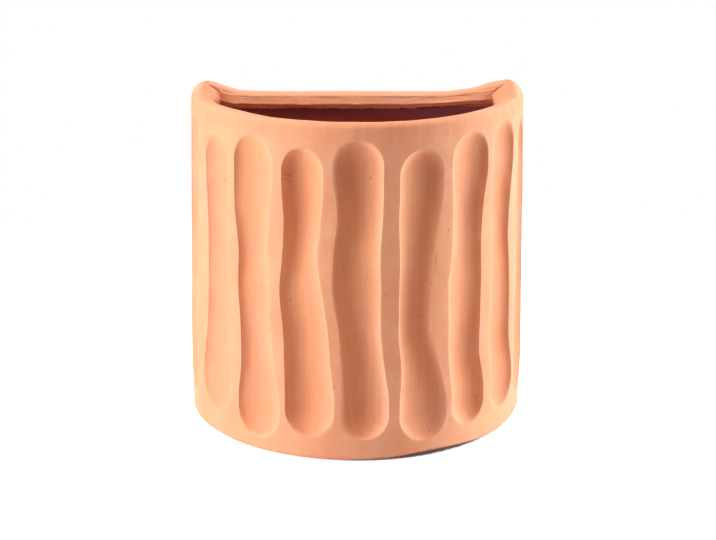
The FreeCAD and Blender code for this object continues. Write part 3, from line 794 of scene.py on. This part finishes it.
def terracotta():
    """Unglazed clay: clouded colour, chalky wear, dragged lines, grain, pits and specks, with
    painted shade in the flutes, on the lip band and inside, a painted shadow line under the foot,
    and painted highlights on the rim.
    """
    material = bpy.data.materials.new("terracotta")
    tree = new_tree(material)
    place = node(tree, "ShaderNodeTexCoord").outputs["Object"]

    def maths(operation, *values, clamp=False):
        made = node(tree, "ShaderNodeMath", dict(enumerate(values)), operation=operation)
        made.use_clamp = clamp
        return made.outputs[0]

    def plus(a, b):
        return maths("ADD", a, b)

    def minus(a, b):
        return maths("SUBTRACT", a, b)

    def times(a, b):
        return maths("MULTIPLY", a, b)

    def stretch(x, y, z):
        return node(tree, "ShaderNodeMapping", {"Vector": place, "Scale": (x, y, z)}).outputs[0]

    def noise(vector, scale, detail, rough, offset=0.0):
        """Noise with scale features to the metre, moved by offset."""
        if offset:
            vector = node(tree, "ShaderNodeVectorMath", {0: vector, 1: (offset,) * 3},
                          operation="ADD").outputs[0]
        return node(tree, "ShaderNodeTexNoise", {"Vector": vector, "Scale": scale,
                                                 "Detail": detail, "Roughness": rough}
                    ).outputs["Fac"]

    def ramp(value, low, high):
        """A value eased to 0 at low and to 1 at high."""
        return node(tree, "ShaderNodeMapRange", {"Value": value, "From Min": low,
                                                 "From Max": high},
                    interpolation_type="SMOOTHSTEP").outputs[0]

    def remap(value, low, high, to):
        return node(tree, "ShaderNodeMapRange", {"Value": value, "From Min": low, "From Max": high,
                                                 "To Min": to[0], "To Max": to[1]}).outputs[0]

    def blend(fac, a, b, mode="MIX"):
        made = node(tree, "ShaderNodeMix", data_type="RGBA", blend_type=mode)
        for socket, value in zip((made.inputs[0], made.inputs[6], made.inputs[7]), (fac, a, b)):
            if isinstance(value, bpy.types.NodeSocket):
                tree.links.new(value, socket)
            else:
                socket.default_value = value
        return made.outputs[2]

    def field(name):
        return node(tree, "ShaderNodeAttribute", attribute_name=name).outputs["Fac"]

    def dots(scale, size, share, offset):
        """Small round spots in a share of the cells of a Voronoi pattern."""
        moved = node(tree, "ShaderNodeVectorMath", {0: place, 1: (offset, 0.5 * offset, offset)},
                     operation="ADD").outputs[0]
        cells = node(tree, "ShaderNodeTexVoronoi", {"Vector": moved, "Scale": scale,
                                                    "Randomness": 1.0})
        spot = ramp(cells.outputs["Distance"], size, 0.35 * size)
        pick = node(tree, "ShaderNodeSeparateColor", {0: cells.outputs["Color"]}).outputs[0]
        return times(spot, maths("LESS_THAN", pick, share))

    # Patterns: drag runs down the flutes as the tool did, rings run round the plain clay.
    recess_and_shade, inside, edge, rim = field("recess_and_shade"), field("inside"), field("edge"), field("rim")
    cloud = noise(place, 16.0, 4.0, 0.6)
    patch = noise(place, 55.0, 4.0, 0.6, 3.0)
    grain = noise(place, 700.0, 3.0, 0.7, 5.0)
    drag = noise(stretch(1.0, 1.0, 0.05), 330.0, 3.0, 0.6, 7.0)
    rings = noise(stretch(0.06, 0.06, 1.0), 210.0, 3.0, 0.6, 9.0)
    plain = minus(1.0, ramp(recess_and_shade, 0.02, 0.15))
    drag = plus(0.5, times(minus(drag, 0.5), minus(1.0, times(plain, 0.8))))
    rings = plus(0.5, times(minus(rings, 0.5), times(plain, 0.4)))
    pits = maths("MAXIMUM", dots(130.0, 0.085, 0.12, 0.0), dots(70.0, 0.055, 0.09, 4.1))
    specks = maths("MAXIMUM", dots(160.0, 0.075, 0.07, 1.7), dots(95.0, 0.05, 0.07, 8.3))

    # The clay's own colour
    tone = plus(times(ramp(cloud, 0.3, 0.7), 0.55), times(ramp(patch, 0.3, 0.7), 0.45))
    colour = blend(tone, DEEP, BODY)
    colour = blend(times(ramp(noise(place, 11.0, 2.0, 0.5, 21.0), 0.45, 0.65), 0.6), colour, OCHRE)
    # Painted shade in the flutes and on the lip band
    colour = blend(times(recess_and_shade, 0.5), colour, RECESS_SHADE)

    # Chalky wear in patches, along the gouges' edges and on the rim, where it also paints a
    # highlight along the lip's crest and a lighter top on the back
    chalky = times(ramp(noise(place, 26.0, 5.0, 0.65, 14.0), 0.46, 0.72), CHALK_PATCHES)
    chalky = times(chalky, minus(1.0, times(recess_and_shade, 0.35)))
    worn = times(edge, ramp(noise(place, 60.0, 2.0, 0.5, 17.0), 0.35, 0.75))
    chalky = plus(chalky, times(worn, CHALK_EDGES))
    chalky = maths("ADD", chalky, times(rim, RIM_CHALK_AND_HIGHLIGHT), clamp=True)
    colour = blend(chalky, colour, CHALK)

    # Fine lines and grain, then spots and the painted shade
    lines = plus(times(ramp(drag, 0.35, 0.65), 0.5), times(ramp(rings, 0.35, 0.65), 0.3))
    lines = plus(lines, times(ramp(grain, 0.3, 0.7), 0.35))
    shade = remap(lines, 0.0, 1.15, SHADE)
    grey = node(tree, "ShaderNodeCombineColor", {0: shade, 1: shade, 2: shade}).outputs[0]
    colour = blend(1.0, colour, grey, "MULTIPLY")
    colour = blend(times(pits, 0.8), colour, PIT)
    colour = blend(times(specks, 0.7), colour, SPECK)
    # Painted shade inside and under the strip
    colour = blend(inside, colour, INSIDE_SHADE)
    # The painted shadow line under the foot
    colour = blend(field("foot_shadow"), colour, FOOT_SHADOW_COLOUR)

    height = plus(times(grain, 0.14), times(drag, 0.16))
    height = plus(height, times(rings, 0.10))
    height = plus(height, times(noise(place, 190.0, 3.0, 0.6, 13.0), 0.35))
    height = minus(height, times(pits, 0.6))
    height = plus(height, times(specks, 0.15))
    bump = node(tree, "ShaderNodeBump", {"Height": height, "Strength": 1.0,
                                         "Distance": BUMP_HEIGHT})
    shader = node(tree, "ShaderNodeBsdfPrincipled",
                  {"Base Color": colour, "Roughness": remap(patch, 0.3, 0.7, ROUGHNESS),
                   "Normal": bump.outputs[0], "Specular IOR Level": 0.35, "Sheen Weight": 0.08,
                   "Sheen Roughness": 0.5})
    node(tree, "ShaderNodeOutputMaterial", {"Surface": shader.outputs[0]})
    return material


clay = terracotta()
for piece, _ in PIECES:
    piece.data.materials.append(clay)


# ---------------------------------------------------------------------------------------------
# Camera, lights, world and floor, in metres
# ---------------------------------------------------------------------------------------------

CAMERA_LENS, CAMERA_SENSOR = 118.66, 36.0
CAMERA_PLACE = (0.00046, -1.4773, 0.5521)
CAMERA_TILT = 73.4            # degrees up from straight down
LAMP_DISTANCE, LAMP_WIDE = 1.4, 0.6
LAMP_TARGET = (0.0, 0.0, 0.11)      # the middle of the planter
COOL = (0.93, 1.06, 1.15)
NEUTRAL = (1.0, 1.0, 1.0)
# Azimuth and elevation in degrees, height in metres, power in watts and colour
LAMPS = (
    ("key_left", -70.0, 3.0, 0.5, 25.5, COOL),
    ("key_right", 96.0, 3.0, 0.5, 28.5, COOL),
    ("top", 0.0, 88.0, 0.6, 18.0, NEUTRAL),
)
WHITE = (1.0, 1.0, 1.0, 1.0)
FILL = (1.0, 0.46, 0.37, 1.0)
FILL_LEVEL = 0.225
PAPER = (0.58, 0.58, 0.58, 1.0)
BRIGHT_PAPER = (3.4, 3.4, 3.4, 1.0)   # as the camera sees it, so that only the shadow shows
PAPER_CORNERS = ((-6, -6, 0), (6, -6, 0), (6, 8, 0), (-6, 8, 0))
PAPER_GAP = 0.0004            # between the foot and the paper
PAPER_FADE = (0.2, 0.6)       # distances between which the paper turns white

camera = bpy.data.objects.new("camera", bpy.data.cameras.new("camera"))
camera.data.lens = CAMERA_LENS
camera.data.sensor_width = CAMERA_SENSOR
camera.location = CAMERA_PLACE
camera.rotation_euler = (math.radians(CAMERA_TILT), 0.0, 0.0)
bpy.context.scene.collection.objects.link(camera)
bpy.context.scene.camera = camera


def add_lamp(name, azimuth, elevation, tall, power, colour):
    """A soft box that faces the planter from an azimuth, 0 in front and 90 at the right."""
    light = bpy.data.lights.new(name, "AREA")
    light.shape = "RECTANGLE"
    light.size, light.size_y = LAMP_WIDE, tall
    light.energy = power
    light.color = colour
    box = bpy.data.objects.new(name, light)
    turn, rise = math.radians(azimuth), math.radians(elevation)
    away = np.array([math.sin(turn) * math.cos(rise), -math.cos(turn) * math.cos(rise),
                     math.sin(rise)])
    box.location = away * LAMP_DISTANCE + LAMP_TARGET
    box.rotation_euler = (math.radians(90.0) - rise, 0.0, turn)
    bpy.context.scene.collection.objects.link(box)


for lamp in LAMPS:
    add_lamp(*lamp)


def seen_directly(tree):
    """1 where the background shows to the camera, in a reflection or through glass."""
    path = node(tree, "ShaderNodeLightPath")
    seen = path.outputs["Is Camera Ray"]
    for other in ("Is Glossy Ray", "Is Transmission Ray"):
        seen = node(tree, "ShaderNodeMath", {0: seen, 1: path.outputs[other]},
                    operation="MAXIMUM").outputs[0]
    return seen


def make_world():
    """A dim warm fill that shows as plain white."""
    world = bpy.data.worlds.new("studio")
    tree = new_tree(world)
    seen = seen_directly(tree)
    glow = node(tree, "ShaderNodeBackground", {"Color": FILL, "Strength": FILL_LEVEL})
    blank = node(tree, "ShaderNodeBackground", {"Color": WHITE, "Strength": 1.0})
    mixed = node(tree, "ShaderNodeMixShader", {0: seen, 1: glow.outputs[0], 2: blank.outputs[0]})
    node(tree, "ShaderNodeOutputWorld", {"Surface": mixed.outputs[0]})
    return world


def paper():
    """White paper that keeps the planter's shadow and fades into the world's white."""
    material = bpy.data.materials.new("paper")
    tree = new_tree(material)
    seen = seen_directly(tree)
    plain = node(tree, "ShaderNodeBsdfDiffuse", {"Color": PAPER})
    bright = node(tree, "ShaderNodeBsdfDiffuse", {"Color": BRIGHT_PAPER})
    lit = node(tree, "ShaderNodeMixShader", {0: seen, 1: plain.outputs[0], 2: bright.outputs[0]})
    place = node(tree, "ShaderNodeNewGeometry").outputs["Position"]
    far = node(tree, "ShaderNodeVectorMath", {0: place}, operation="LENGTH").outputs["Value"]
    far = node(tree, "ShaderNodeMapRange", {"Value": far, "From Min": PAPER_FADE[0],
                                            "From Max": PAPER_FADE[1]}).outputs[0]
    far = node(tree, "ShaderNodeMath", {0: far, 1: seen}, operation="MULTIPLY").outputs[0]
    white = node(tree, "ShaderNodeEmission", {"Color": WHITE, "Strength": 1.0})
    shown = node(tree, "ShaderNodeMixShader", {0: far, 1: lit.outputs[0], 2: white.outputs[0]})
    node(tree, "ShaderNodeOutputMaterial", {"Surface": shown.outputs[0]})
    return material


bpy.context.scene.world = make_world()

floor_mesh = bpy.data.meshes.new("floor")
floor_mesh.from_pydata(PAPER_CORNERS, [], [(0, 1, 2, 3)])
floor_mesh.materials.append(paper())
floor = bpy.data.objects.new("floor", floor_mesh)
floor.location = (0.0, 0.0, -PAPER_GAP)
bpy.context.scene.collection.objects.link(floor)

bpy.context.scene.view_settings.view_transform = "Standard"
